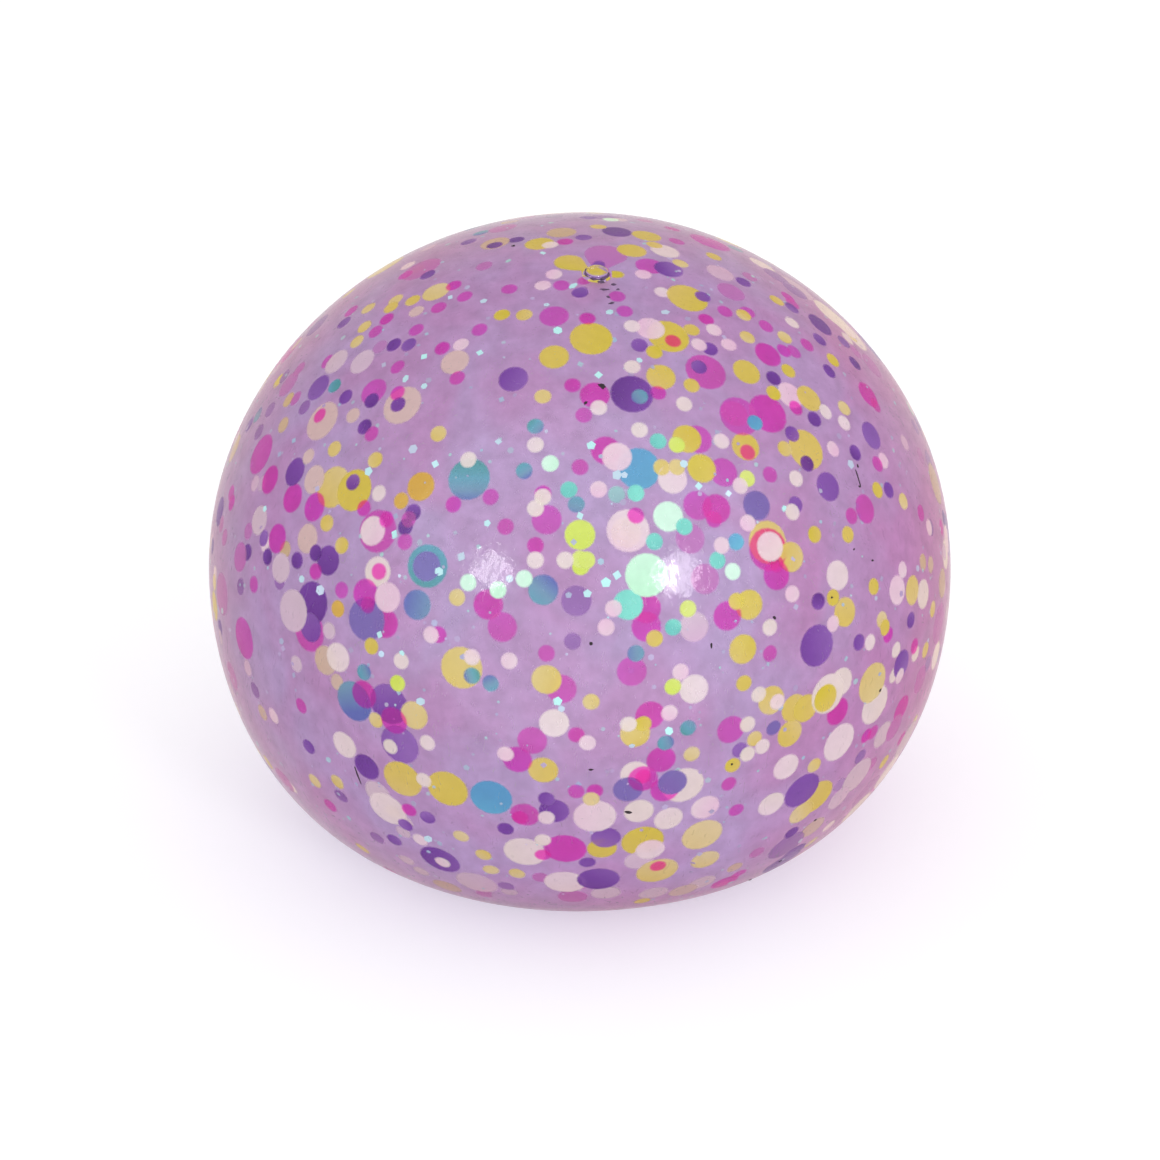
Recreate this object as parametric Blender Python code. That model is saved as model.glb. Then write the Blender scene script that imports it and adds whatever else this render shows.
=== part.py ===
"""Glitter squeeze ball: a clear rubber skin full of lilac gel, in which round confetti flakes float.

The ball stands on the flat foot that it sags onto. The origin is the middle of that foot, with +Z up, and
the front faces -Y. A plug near the top closes the port that the gel was poured in through, and the
crown of the ball sinks straight down when the ball is squeezed.
"""
import math

import bmesh
import bpy
from mathutils import Matrix, Vector

# Outside of the ball at rest, in metres
EQUATOR_RADIUS = 0.0365
EQUATOR_HEIGHT = 0.0249
CROWN_RISE = 0.0347
FOOT_RADIUS = 0.0200

# Skin and its fill port, which is a bore with a wider mouth
SKIN_WALL = 0.0018
PORT_BORE_RADIUS = 0.0009
PORT_MOUTH_LIP = 0.0005
PORT_MOUTH_DEPTH = 0.0007

# The ball lies so that its port leans from the top: how far, towards which side of the ball, and how much
# of the skin round the port leans as one piece
PORT_LEAN = math.radians(6.8)
PORT_BEARING = math.radians(-68)
PORT_FIRM = math.radians(15)

# Plug in the port: a domed head in the mouth, a stem in the bore and a flange inside the skin
FIT_GAP = 0.0003
PLUG_RISE = 0.0003
PLUG_DOME = 0.0003
PLUG_FLANGE_LIP = 0.0005
PLUG_FLANGE_THICKNESS = 0.0005

# Confetti flakes, punched from film and floating in layers under the skin, the larger two sizes
FLAKE_DIAMETER = {"large": 0.0040, "medium": 0.0028}
FLAKE_THICKNESS = 0.00008
FLAKE_LAYER_SPACE = 0.00024
FLAKE_FREE_FOOT = math.radians(25)

# The front flakes are charted as they are seen by an eye in front of the ball and above it, whose line of
# sight bends where it enters the clear rubber
EYE_DISTANCE = 0.51
EYE_ELEVATION = math.radians(30)
REFRACTIVE_INDEX = 1.46

# Flakes on the sides and back, spread evenly in height and by a fixed turn from one to the next
BACK_FLAKES = 11
BACK_LOWEST = 0.008
BACK_BELOW_TOP = 0.008
BACK_WIDTH = math.radians(230)
BACK_TURN = 0.618

# Facets
RING_SEGMENTS = 48
CROWN_STEPS = 10
LOWER_STEPS = 9
PLUG_SEGMENTS = 20
PLUG_DOME_STEPS = 3
FLAKE_SIDES = 16

# Colour, roughness and alpha of each piece's material
FINISHES = {
    "clear_rubber": ((0.86, 0.82, 0.86), 0.12, 0.25),
    "lilac_gel": ((0.46, 0.26, 0.52), 0.45, 1.0),
    "pearl_film": ((0.83, 0.66, 0.76), 0.25, 1.0),
    "yellow_film": ((0.80, 0.62, 0.10), 0.25, 1.0),
    "violet_film": ((0.16, 0.04, 0.36), 0.25, 1.0),
    "magenta_film": ((0.63, 0.06, 0.38), 0.25, 1.0),
    "teal_film": ((0.07, 0.37, 0.46), 0.25, 1.0),
}

# Front flakes by colour: size, then right and up of the middle in hundredths of the equator's radius.
# Where two overlap, the one that is listed first floats nearer to the skin.
FRONT_FLAKES = {
    "pearl": (
        ("medium", 10, 30), ("medium", 25, 24), ("large", 13, 10), ("large", 18, -2), ("medium", -52, -8),
        ("medium", -7, -42), ("large", 70, -47), ("large", 67, -34), ("large", 4, -67), ("medium", -56, 10),
        ("large", -48, 44),
    ),
    "yellow": (
        ("large", 3, 62), ("medium", -7, 57), ("large", -61, 21), ("medium", -43, 22), ("large", 29, 73),
        ("medium", 45, 53), ("large", 61, 32), ("large", -32, -27), ("medium", 44, -22), ("large", 79, -31),
        ("large", -48, -57), ("large", 33, -72),
    ),
    "violet": (
        ("medium", -18, 51), ("large", 14, 47), ("medium", -77, 26), ("large", -30, 24), ("large", 64, -21),
        ("medium", 67, 22), ("large", -58, -14), ("large", -49, -48), ("large", 60, -60), ("medium", -68, 2),
    ),
    "magenta": (
        ("medium", -7, 68), ("large", -55, 10), ("medium", -9, 13), ("large", 43, 41), ("medium", -21, -16),
        ("medium", 14, -28), ("medium", 77, 16), ("large", 34, 53),
    ),
    "teal": (
        ("large", 16, 27), ("medium", -44, -10), ("large", -61, -36), ("large", -24, -62),
    ),
}


def clear_scene():
    """Removes whatever the scene holds."""
    for obj in list(bpy.data.objects):
        bpy.data.objects.remove(obj, do_unlink=True)


def make_materials():
    """Returns one Principled material for each finish, by name."""
    materials = {}
    for name, (colour, roughness, alpha) in FINISHES.items():
        material = bpy.data.materials.new(name)
        material.use_nodes = True
        shader = material.node_tree.nodes["Principled BSDF"]
        shader.inputs["Base Color"].default_value = (*colour, 1.0)
        shader.inputs["Roughness"].default_value = roughness
        shader.inputs["Metallic"].default_value = 0.0
        shader.inputs["Alpha"].default_value = alpha
        materials[name] = material
    return materials


def crown_point(angle, depth=0.0):
    """Radius and height on the crown, at an angle from the top, a depth inside the skin's surface."""
    radius = EQUATOR_RADIUS * math.sin(angle)
    rise = CROWN_RISE * math.cos(angle)
    normal = Vector((radius / EQUATOR_RADIUS ** 2, rise / CROWN_RISE ** 2)).normalized()
    return radius - depth * normal.x, EQUATOR_HEIGHT + rise - depth * normal.y


def lower_point(angle, depth=0.0):
    """Radius and height below the equator, at an angle from it, a depth inside the skin's surface."""
    reach = EQUATOR_RADIUS - FOOT_RADIUS
    across = reach * math.cos(angle)
    drop = EQUATOR_HEIGHT * math.sin(angle)
    normal = Vector((across / reach ** 2, -drop / EQUATOR_HEIGHT ** 2)).normalized()
    return FOOT_RADIUS + across - depth * normal.x, EQUATOR_HEIGHT - drop - depth * normal.y


def outline(first_angle, depth, foot_depth):
    """Points from the crown down to the foot's edge, at a depth that ends at foot_depth on the foot."""
    points = []
    for step in range(CROWN_STEPS):
        angle = first_angle + (math.pi / 2 - first_angle) * step / CROWN_STEPS
        points.append(crown_point(angle, depth))
    for step in range(LOWER_STEPS + 1):
        angle = math.pi / 2 * step / LOWER_STEPS
        share = min(1.0, (math.pi / 2 - angle) / FLAKE_FREE_FOOT)
        points.append(lower_point(angle, foot_depth + (depth - foot_depth) * share))
    return points


def surface_radius(height):
    """Radius of the skin's outside at a height."""
    if height >= EQUATOR_HEIGHT:
        share = min(1.0, (height - EQUATOR_HEIGHT) / CROWN_RISE)
        return EQUATOR_RADIUS * math.sqrt(1.0 - share ** 2)
    share = min(1.0, (EQUATOR_HEIGHT - height) / EQUATOR_HEIGHT)
    return FOOT_RADIUS + (EQUATOR_RADIUS - FOOT_RADIUS) * math.sqrt(1.0 - share ** 2)


def surface_normal(point):
    """Outward direction of the skin at a point of its outside."""
    flat = Vector((point.x, point.y, 0.0))
    rise = point.z - EQUATOR_HEIGHT
    if rise >= 0.0:
        sideways = flat.length / EQUATOR_RADIUS ** 2
        upwards = rise / CROWN_RISE ** 2
    else:
        sideways = max(0.0, flat.length - FOOT_RADIUS) / (EQUATOR_RADIUS - FOOT_RADIUS) ** 2
        upwards = rise / EQUATOR_HEIGHT ** 2
    return (flat.normalized() * sideways + Vector((0.0, 0.0, upwards))).normalized()


def leaned(point):
    """Place that a point of the upright crown takes in the ball as it lies, with its port off the top."""
    unit = Vector((point.x / EQUATOR_RADIUS, point.y / EQUATOR_RADIUS, (point.z - EQUATOR_HEIGHT) / CROWN_RISE))
    from_port = math.atan2(math.hypot(unit.x, unit.y), unit.z)
    share = min(1.0, max(0.0, (math.pi / 2 - from_port) / (math.pi / 2 - PORT_FIRM)))
    pivot = Vector((-math.sin(PORT_BEARING), math.cos(PORT_BEARING), 0.0))
    unit.rotate(Matrix.Rotation(PORT_LEAN * share, 3, pivot))
    return Vector((unit.x * EQUATOR_RADIUS, unit.y * EQUATOR_RADIUS, EQUATOR_HEIGHT + unit.z * CROWN_RISE))


def seen_point(right, up):
    """Point of the skin's outside above a flake that the eye sees at the given place of the chart."""
    middle = Vector((0.0, 0.0, EQUATOR_HEIGHT))
    towards_eye = Vector((0.0, -math.cos(EYE_ELEVATION), math.sin(EYE_ELEVATION)))
    eye_up = Vector((0.0, math.sin(EYE_ELEVATION), math.cos(EYE_ELEVATION)))
    eye = middle + towards_eye * EYE_DISTANCE
    outside = eye
    inside = middle + (Vector((right, 0.0, 0.0)) + eye_up * up) * EQUATOR_RADIUS / 100.0
    for _ in range(40):
        point = (inside + outside) / 2.0
        if math.hypot(point.x, point.y) < surface_radius(point.z):
            inside = point
        else:
            outside = point
    sight = (inside - eye).normalized()
    normal = surface_normal(inside)
    bent = (sight - normal * sight.dot(normal)) / REFRACTIVE_INDEX
    depth = SKIN_WALL + FIT_GAP
    flake = inside - normal * depth + bent * depth / math.sqrt(1.0 - bent.length_squared)
    return flake + surface_normal(flake) * depth


def back_point(index):
    """Point of the skin's outside for one of the flakes on the sides and back."""
    top = EQUATOR_HEIGHT + CROWN_RISE - BACK_BELOW_TOP
    height = BACK_LOWEST + (top - BACK_LOWEST) * (index + 0.5) / BACK_FLAKES
    turn = (index * BACK_TURN) % 1.0 - 0.5
    azimuth = math.pi / 2 + turn * BACK_WIDTH
    radius = surface_radius(height)
    return Vector((radius * math.cos(azimuth), radius * math.sin(azimuth), height))


def plan_flakes():
    """Lists every flake as its colour, size, place on the skin and layer, with no two touching in a layer."""
    wanted = []
    for colour, flakes in FRONT_FLAKES.items():
        for size, right, up in flakes:
            wanted.append((colour, size, seen_point(right, up)))
    colours = list(FRONT_FLAKES)
    sizes = list(FLAKE_DIAMETER)
    for index in range(BACK_FLAKES):
        wanted.append((colours[index % len(colours)], sizes[index % len(sizes)], back_point(index)))

    planned = []
    for colour, size, point in wanted:
        layer = 0
        for _, other_size, other_point, other_layer in sorted(planned, key=lambda flake: flake[3]):
            apart = (FLAKE_DIAMETER[size] + FLAKE_DIAMETER[other_size]) / 2 + FIT_GAP
            if other_layer == layer and (point - other_point).length < apart:
                layer += 1
        planned.append((colour, size, point, layer))
    return planned


def turned_mesh(name, section, segments, closed):
    """Mesh made by turning a section of radius and height points once round the Z axis."""
    shape = bmesh.new()
    corners = []
    for radius, height in section:
        corners.append(shape.verts.new((radius, 0.0, height)))
    ends = zip(corners, corners[1:] + corners[:1]) if closed else zip(corners, corners[1:])
    edges = []
    for start, end in ends:
        if start.co.x > 0.0 or end.co.x > 0.0:
            edges.append(shape.edges.new((start, end)))
    bmesh.ops.spin(shape, geom=corners + edges, cent=(0, 0, 0), axis=(0, 0, 1), angle=2 * math.pi,
                   steps=segments, use_merge=True)
    bmesh.ops.remove_doubles(shape, verts=shape.verts, dist=1e-7)
    bmesh.ops.recalc_face_normals(shape, faces=shape.faces)
    mesh = bpy.data.meshes.new(name)
    shape.to_mesh(mesh)
    shape.free()
    mesh.shade_smooth()
    mesh.set_sharp_from_angle(angle=math.radians(40))
    return mesh


def add_object(name, mesh, material, location=(0.0, 0.0, 0.0)):
    """Puts a named object with its material in the scene."""
    if not mesh.materials:
        mesh.materials.append(material)
    obj = bpy.data.objects.new(name, mesh)
    obj.location = location
    bpy.context.scene.collection.objects.link(obj)
    return obj


def make_skin(materials):
    """Clear hollow skin with the fill port through its crown."""
    mouth_radius = PORT_BORE_RADIUS + PORT_MOUTH_LIP
    mouth_floor = EQUATOR_HEIGHT + CROWN_RISE - PORT_MOUTH_DEPTH
    outside = outline(math.asin(mouth_radius / EQUATOR_RADIUS), 0.0, 0.0)
    inside = outline(math.asin(PORT_BORE_RADIUS / EQUATOR_RADIUS), SKIN_WALL, SKIN_WALL)
    inside[0] = (PORT_BORE_RADIUS, inside[0][1])
    section = outside + [(0.0, 0.0), (0.0, SKIN_WALL)] + inside[::-1]
    section += [(PORT_BORE_RADIUS, mouth_floor), (mouth_radius, mouth_floor)]
    mesh = turned_mesh("skin", section, RING_SEGMENTS, closed=True)
    for vertex in mesh.vertices:
        vertex.co = leaned(vertex.co)
    add_object("skin", mesh, materials["clear_rubber"])


def make_gel(materials, flake_zone):
    """Gel inside the flakes, standing on the floor of the skin."""
    foot_depth = SKIN_WALL + FIT_GAP
    side = outline(0.0, SKIN_WALL + flake_zone, foot_depth)
    side[0] = (0.0, side[0][1])
    mesh = turned_mesh("gel_fill", side + [(0.0, foot_depth)], RING_SEGMENTS, closed=False)
    add_object("gel_fill", mesh, materials["lilac_gel"])


def make_plug(materials):
    """Plug of the fill port, with its origin in the middle of the port's mouth."""
    top = EQUATOR_HEIGHT + CROWN_RISE
    head_radius = PORT_BORE_RADIUS + PORT_MOUTH_LIP - FIT_GAP
    stem_radius = PORT_BORE_RADIUS - FIT_GAP
    flange_radius = PORT_BORE_RADIUS + PLUG_FLANGE_LIP
    flange_angle = math.asin(flange_radius / EQUATOR_RADIUS)
    flange_top = crown_point(flange_angle, SKIN_WALL)[1] - top - FIT_GAP
    flange_bottom = flange_top - PLUG_FLANGE_THICKNESS
    section = []
    for step in range(PLUG_DOME_STEPS + 1):
        angle = math.pi / 2 * step / PLUG_DOME_STEPS
        section.append((head_radius * math.sin(angle), PLUG_RISE + PLUG_DOME * math.cos(angle)))
    section += [(head_radius, FIT_GAP - PORT_MOUTH_DEPTH), (stem_radius, FIT_GAP - PORT_MOUTH_DEPTH)]
    section += [(stem_radius, flange_top), (flange_radius, flange_top)]
    section += [(flange_radius, flange_bottom), (0.0, flange_bottom)]
    mesh = turned_mesh("fill_plug", section, PLUG_SEGMENTS, closed=False)
    mouth = leaned(Vector((0.0, 0.0, top)))
    plug = add_object("fill_plug", mesh, materials["clear_rubber"], mouth)
    plug.rotation_mode = "QUATERNION"
    plug.rotation_quaternion = (mouth - Vector((0.0, 0.0, EQUATOR_HEIGHT))).to_track_quat("Z", "Y")


def flake_mesh(colour, size):
    """Thin round flake, flat on its own XY plane."""
    radius = FLAKE_DIAMETER[size] / 2
    shape = bmesh.new()
    bmesh.ops.create_cone(shape, cap_ends=True, segments=FLAKE_SIDES, radius1=radius, radius2=radius,
                          depth=FLAKE_THICKNESS)
    mesh = bpy.data.meshes.new(f"flake_{colour}_{size}")
    shape.to_mesh(mesh)
    shape.free()
    return mesh


def make_flakes(materials, planned, layer_pitch):
    """One object for each confetti flake, lying along the skin at the depth of its layer."""
    meshes = {}
    counts = {}
    for colour, size, point, layer in planned:
        if (colour, size) not in meshes:
            meshes[colour, size] = flake_mesh(colour, size)
        counts[colour] = counts.get(colour, 0) + 1
        normal = surface_normal(point)
        depth = SKIN_WALL + FIT_GAP + layer * layer_pitch + FLAKE_THICKNESS / 2
        name = f"flake_{colour}_{counts[colour]:02d}"
        flake = add_object(name, meshes[colour, size], materials[f"{colour}_film"], point - normal * depth)
        flake.rotation_mode = "QUATERNION"
        flake.rotation_quaternion = normal.to_track_quat("Z", "Y")


def main():
    clear_scene()
    materials = make_materials()
    planned = plan_flakes()
    layers = 1 + max(layer for _, _, _, layer in planned)
    layer_pitch = FLAKE_THICKNESS + FLAKE_LAYER_SPACE
    flake_zone = FIT_GAP + layers * layer_pitch
    make_skin(materials)
    make_gel(materials, flake_zone)
    make_plug(materials)
    make_flakes(materials, planned, layer_pitch)


main()
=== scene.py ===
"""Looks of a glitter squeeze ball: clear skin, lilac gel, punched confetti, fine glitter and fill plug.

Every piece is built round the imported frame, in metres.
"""
import math
import random

import bmesh
import bpy
from bpy.props import FloatProperty, FloatVectorProperty, IntProperty, PointerProperty
from mathutils import Matrix, Vector, noise


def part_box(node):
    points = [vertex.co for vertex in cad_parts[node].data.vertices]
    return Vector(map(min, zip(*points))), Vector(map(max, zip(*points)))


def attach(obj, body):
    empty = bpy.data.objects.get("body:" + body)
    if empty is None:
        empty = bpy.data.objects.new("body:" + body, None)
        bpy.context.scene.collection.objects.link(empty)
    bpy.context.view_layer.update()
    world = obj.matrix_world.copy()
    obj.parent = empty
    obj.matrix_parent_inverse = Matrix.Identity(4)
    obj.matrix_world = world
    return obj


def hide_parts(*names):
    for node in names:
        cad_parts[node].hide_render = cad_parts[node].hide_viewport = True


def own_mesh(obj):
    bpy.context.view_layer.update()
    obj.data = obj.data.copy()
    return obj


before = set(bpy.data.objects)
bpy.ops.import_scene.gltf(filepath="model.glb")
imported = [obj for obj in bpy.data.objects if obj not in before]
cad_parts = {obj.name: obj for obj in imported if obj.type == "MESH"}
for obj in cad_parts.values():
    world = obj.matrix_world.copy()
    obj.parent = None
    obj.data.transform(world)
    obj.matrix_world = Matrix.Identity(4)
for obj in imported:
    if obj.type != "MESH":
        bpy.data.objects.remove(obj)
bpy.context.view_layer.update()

bl_info = {
    "name": "Glitter Squeeze Ball",
    "version": (1, 0, 0),
    "blender": (4, 5, 0),
    "location": "View3D > Sidebar > Squeeze Ball",
    "description": "Builds the visible pieces of a gel filled squeeze ball round its packed frame",
    "category": "Add Mesh",
}

MM = 0.001
QUARTER = math.pi / 2
FLOOR = Vector((0.0, 0.0, 0.0))
UP = Vector((0.0, 0.0, 1.0))

# Corners of the frame are at one height within SAME and on two surfaces beyond APART. Those above the
# equator by this share of the radius say how high the crown is.
SAME = 1e-6
APART = 1e-5
WELL_ABOVE = 0.3


def linear(hex_colour):
    """Linear red, green, blue and alpha of an sRGB hex colour."""
    channels = []
    for start in (1, 3, 5):
        value = int(hex_colour[start:start + 2], 16) / 255
        channels.append(value / 12.92 if value <= 0.04045 else ((value + 0.055) / 1.055) ** 2.4)
    return (*channels, 1.0)


def read_frame():
    """Driving sizes of the ball, measured on the frame's skin, gel and plug."""
    points = [vertex.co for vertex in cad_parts["skin"].data.vertices]
    reach = [math.hypot(point.x, point.y) for point in points]
    widest = max(range(len(points)), key=reach.__getitem__)
    radius = reach[widest]
    height = points[widest].z
    level = [across for point, across in zip(points, reach) if abs(point.z - height) < SAME]
    crowns = []
    for point, across in zip(points, reach):
        if point.z > height + WELL_ABOVE * radius:
            crowns.append(((point.z - height) / math.sqrt(1 - (across / radius) ** 2), point))
    crown = max(rise for rise, _ in crowns)
    middle = UP * height
    plug = [vertex.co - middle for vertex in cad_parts["fill_plug"].data.vertices]
    port = sum(plug, Vector()).normalized()
    outside = [point - middle for rise, point in crowns if rise > crown - APART]
    return {
        "radius": radius,
        "height": height,
        "crown": crown,
        "foot": max(across for point, across in zip(points, reach) if point.z < SAME),
        "wall": radius - max(across for across in level if across < radius - APART),
        "gel_depth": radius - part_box("gel_fill")[1].x,
        "lean": math.atan2(math.hypot(port.x, port.y) / radius, port.z / crown),
        "bearing": math.atan2(port.y, port.x),
        "mouth": min(point.cross(port).length for point in outside),
        "flange": max(point.cross(port).length for point in plug),
        "plug_top": height + max(point.dot(port) for point in plug),
        "plug_bottom": height + min(point.dot(port) for point in plug),
    }


MEASURED = read_frame()
BALL_TOP = MEASURED["height"] + MEASURED["crown"]

# Fill port: the step and depth of its mouth, its lip, and the angle round it that leans as one with it
MOUTH_STEP = 0.5 * MM
MOUTH_DEPTH = 0.7 * MM
MOUTH_LIP = 0.15 * MM
FIRM_ANGLE = math.radians(15)

# Plug: the gap round its head, the head's depth and dome, the step to its stem, its flange, and the grime
HEAD_GAP = 0.3 * MM
HEAD_DEPTH = 0.4 * MM
DOME_RISE = 0.45 * MM
DOME_STEPS = 8
STEM_STEP = 0.5 * MM
FLANGE_THICKNESS = 0.5 * MM
PLUG_TURNS = 40
PLUG_CREASE = math.radians(50)
GRIME_RADIUS = 0.15 * MM
GRIME_HEIGHT = BALL_TOP + 0.05 * MM
GRIME_TURNS = 64

# Skin: the length of its ripple, the ways from the foot and the port in which the ripple grows, and how much
# a face looks outward at least to be dry. Gel: the angle above the foot in which its depth eases.
RIPPLE_LENGTH = 14 * MM
RIPPLE_FROM_FOOT = 8 * MM
RIPPLE_FROM_PORT = 6 * MM
DRY_FACING = 0.3
FOOT_EASING = math.radians(25)

# Places on the ball are right + up j of its middle as the camera sees it, in hundredths of the equator's
# radius. The front flakes here are those beside the frame's own. Small and upper ones lie over the others.
FRONT_FLAKES = {
    "pearl large": (-52-65j, -15-77j, -4-85j, 80-37j, 28-59j),
    "pearl medium": (
        -55-1j, 70-2j, 56-54j, -64-48j, 31-33j, 52-64j, 34-65j, 16-66j, 24-68j, 19-76j, 86-6j, 93-7j, 23+86j,
        19+65j, 57+47j, 15-56j, 71-31j,
    ),
    "pearl upper medium": (51+5.7j, -65-24j),
    "pearl small": (
        -51-48j, -37-79j, 45+12j, -30+29j, -32+60j, -8+87j, -7+79j, -10+76j, 17+79j, 14+65j, 36+64j, 40+60j,
        32+60j, 14+54j, 28+44j, 57+66j, 66+42j, 71+39j, 68+32j, 72+62j, -54+20j, -48-25j, -41-47j, -42-57j,
        58+24j, 57-7j, 51-16j, 68-15j, 78-20j, 85-22j, 94+11j, 86-29j, 57+15j, 48-34j, 45-42j, 53-36j,
        49-48j, 45-50j, -12+33j, 5+43j, -10+19j, -12+16j, 5+21j, 16+37j, 38+34j, 43+22j, -12+2j, -4+2j,
        -40-18j, 7-16j, 9-11j, -19-25j, -29-24j, 38+6j, 2-47j, -20-50j, 27-28j, 24-39j, 13-42j, -43-73j,
        -9-67j, -10-73j,
    ),
    # Pearl flakes on the ball's shaded left side, made darker and beige: painted shade
    "beige large": (-70+40j,),
    "beige medium": (-34+56j, -72+24j, -74+8j),
    "beige small": (-44+69j, -61+41j, -73+30j),
    "yellow large": (-36-60j, 24+63j, 51+7j, -67+22j, 64-62j, 17-74j, 21-82j),
    "yellow medium": (
        22+52j, 29+35j, 33+27j, 12.6+9.6j, 46-10j, -10-55j, 72-12j, 62+46j, 57+3j, 45+33j, -45-40j, 57-45j,
        52-36j, 58-38j, 34-79j, 15-45j, -39+75j, -11+88j, -3+83j, 14+86j, 18+90j, 90-6j, 61-38j, 60-66j,
        6-76j,
    ),
    "yellow upper medium": (66-35j, -9-30j),
    "yellow small": (
        26+27j, 22+27j, 20-19j, -38+36j, -66+32j, -45+72j, -57+70j, -58+65j, -60+61j, -10+46j, -21+68j,
        -15+68j, 5+92j, 20+87j, 27+82j, 36+84j, 4+79j, 10+79j, 20+58j, 30+64j, 44+68j, 53+72j, 45+62j,
        55+62j, 30+49j, 52+47j, 56+53j, 68+56j, 71+43j, 55+32j, -55+29j, -68+12j, -64+6j, -56-21j, -55-41j,
        80+21j, 87+18j, 63+9j, 72+9j, 79-5j, 68-8j, 82-16j, 95-11j, 93-22j, 44-31j, 63-53j, 82-52j, 41-53j,
        47-46j, -33-8j, 42-9j, 3-36j, 17-42j, 30-50j, -32-72j, -26-77j, -24-81j, -17-82j, 3-62j,
    ),
    "magenta lower medium": (32+35j, 39+26j),
    "magenta large": (51+42j, -91-19j, -4-76j, 51+5j, -73.5-17j),
    "magenta medium": (
        32+17j, 37+16j, 51+58j, -84+24j, -78+19j, -71.8+16.5j, -82+8j, -25-10j, -5-33j, -13-47j, -17-52j,
        -15-67j, 18-11j, 18-16j, 40-13j, 70-39j, 41-44j, 23-60j, 17-57j, 22-52j, 19-40j, -56+48j, 19+82j,
        4+47j, 78+47j, -58-7j, -53-15j, 42+42j, 53-2j, 7+32j, 87-38j,
    ),
    "magenta upper medium": (-58-34j, -50-41j),
    "magenta small": (
        -70+41j, -49+47j, 25+61j, 15+14j, -64-6j, -54-1j, -38-18j, -10-77j, 21-80j, 45+31j, 0+27j, -47+79j,
        -52+67j, -44+64j, -34+76j, -31+73j, -38+70j, -27+64j, -37+59j, -49+54j, -33+51j, -19+75j, -5+76j,
        -4+88j, 1+77j, 10+73j, 12+69j, 2+67j, 34+67j, 39+69j, 50+65j, -2+49j, 21+47j, 26+88j, 56+73j, 61+60j,
        58+43j, 80+28j, 51+25j, -56+36j, -58+16j, -52+13j, -47+7j, -75-37j, -71-1j, -57-10j, 73+14j, 51-23j,
        83-18j, 90-21j, 40-58j, 42-65j, 77-45j, 1+41j, -34+17j, -24+19j, -20+11j, -10+20j, -12+6j, -46+13j,
        -9-23j, 36+13j, 53+1j, -1-45j, -46-65j, -16-67j, -1-60j, 4-60j, 17-56j,
    ),
    "violet large": (-52-37j, 5-84j, -38-79j, -72.5-9.5j),
    "violet medium": (79+36j, 24+81j, -58-54j, 7-73j, -7-66j, -71+49j, 10+91j, 65+66j, 87-26j),
    "violet upper medium": (-72.5-16j,),
    "violet small": (
        -49+44j, -61+23j, 32+54j, 61+28j, -56+45j, -41+79j, -50+60j, -46+60j, -63+46j, -23+87j, -30+88j,
        1+89j, 0+74j, 16+60j, 33+73j, 44+77j, 35+59j, 52+51j, 57+70j, 71+61j, 67+53j, 63+40j, 57+36j, 74+31j,
        -58+38j, -85+8j, -84+3j, -76+2j, -71+4j, -47+11j, -45+15j, -73-48j, 58+17j, 83+21j, 64-9j, 75-20j,
        89-14j, 43-49j, 57-71j, -47-69j, -41-67j, -50-73j, -20-70j, -9-62j, 2-79j, 5+82j,
    ),
    "teal large": (-41.5+0.5j,),
    "teal medium": (-10-6j,),
    "teal small": (
        -29-29j, -24-31j, -15+26j, -66+49j, -1+17j, 16+46j, -12+38j, -58-28j, 15-23j, 29-43j, 23-47j,
    ),
    "amber small": (-48+18j, -65-11j),
    "azure small": (47+39j, 42+7j),
    "slate medium": (48+17j, 13-60j, 25-58j),
    "slate upper medium": (-41.2+0.4j,),
    "slate small": (52-43j,),
    # Flakes near the lamps' glints, in mint, aqua and lime: painted glints of the lamps on shimmering film
    "mint medium": (24+14j,),
    "mint small": (-30-4j, -22-6j, -15-3j, 41-1j, -8+28j),
    "aqua medium": (13-10j,),
    "aqua small": (28+11j, 20+7j, 37+2j, -3+21j, 25-16j, 21+34j, 15+20j),
    "lime medium": (0+9j,),
    "lime small": (0+2.3j, 1.8+2j, 0.2+0.3j, 29-11j, 45+24j, 26+33j, -49-31j, 25-32j),
}

# Front flakes that float deeper and fade into the cloudy gel
VEILED_FLAKES = {
    "pearl large": (-28-85j, 75-56j, 88-46j),
    "pearl upper large": (-77-11.5j,),
    "pearl medium": (
        -66+56j, -59+56j, 38+80j, -87+13j, -81+0j, 82-45j, 70-62j, 31-16j, 16-79j, 7-88j, 20-88j, 33-85j,
        -55-61j,
    ),
    "pearl small": (88+34j, -88+23j, -77-26j, -68-17j, -90-27j, -47-79j, -43-82j),
    "yellow large": (96+23j,),
    "yellow medium": (-23+88j, -5+91j, 98-4j, 63-70j, -36-86j, 28-87j, -69-25j),
    "yellow small": (-86-39j, -80+5j, 95+1j, 42-81j, -66-31j),
    "magenta large": (-43+81j, 7+85j, -97-7j, 97-15j),
    "magenta medium": (
        41+75j, -21+92j, 79+55j, -79+50j, -92+3j, -94-29j, -80-57j, 92-30j, -2-89j, 30+8j, 34-3j, 85-43j,
    ),
    "magenta small": (-26+82j, 46+79j, -76+54j, -77+46j, -90+10j, -97+12j, 48-77j, 79-53j, -26-88j, 11-91j),
    "violet large": (56-75j,),
    "violet medium": (53+79j, 58+75j, -1-9j),
    "violet small": (
        -80+52j, -84+43j, -87+37j, -92-5j, -88-33j, 95+11j, 76-51j, 69-63j, -55-73j, -20-86j, -2-20j,
    ),
    # A deeper aqua flake: a painted glint
    "aqua small": (10+20j,),
}
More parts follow.
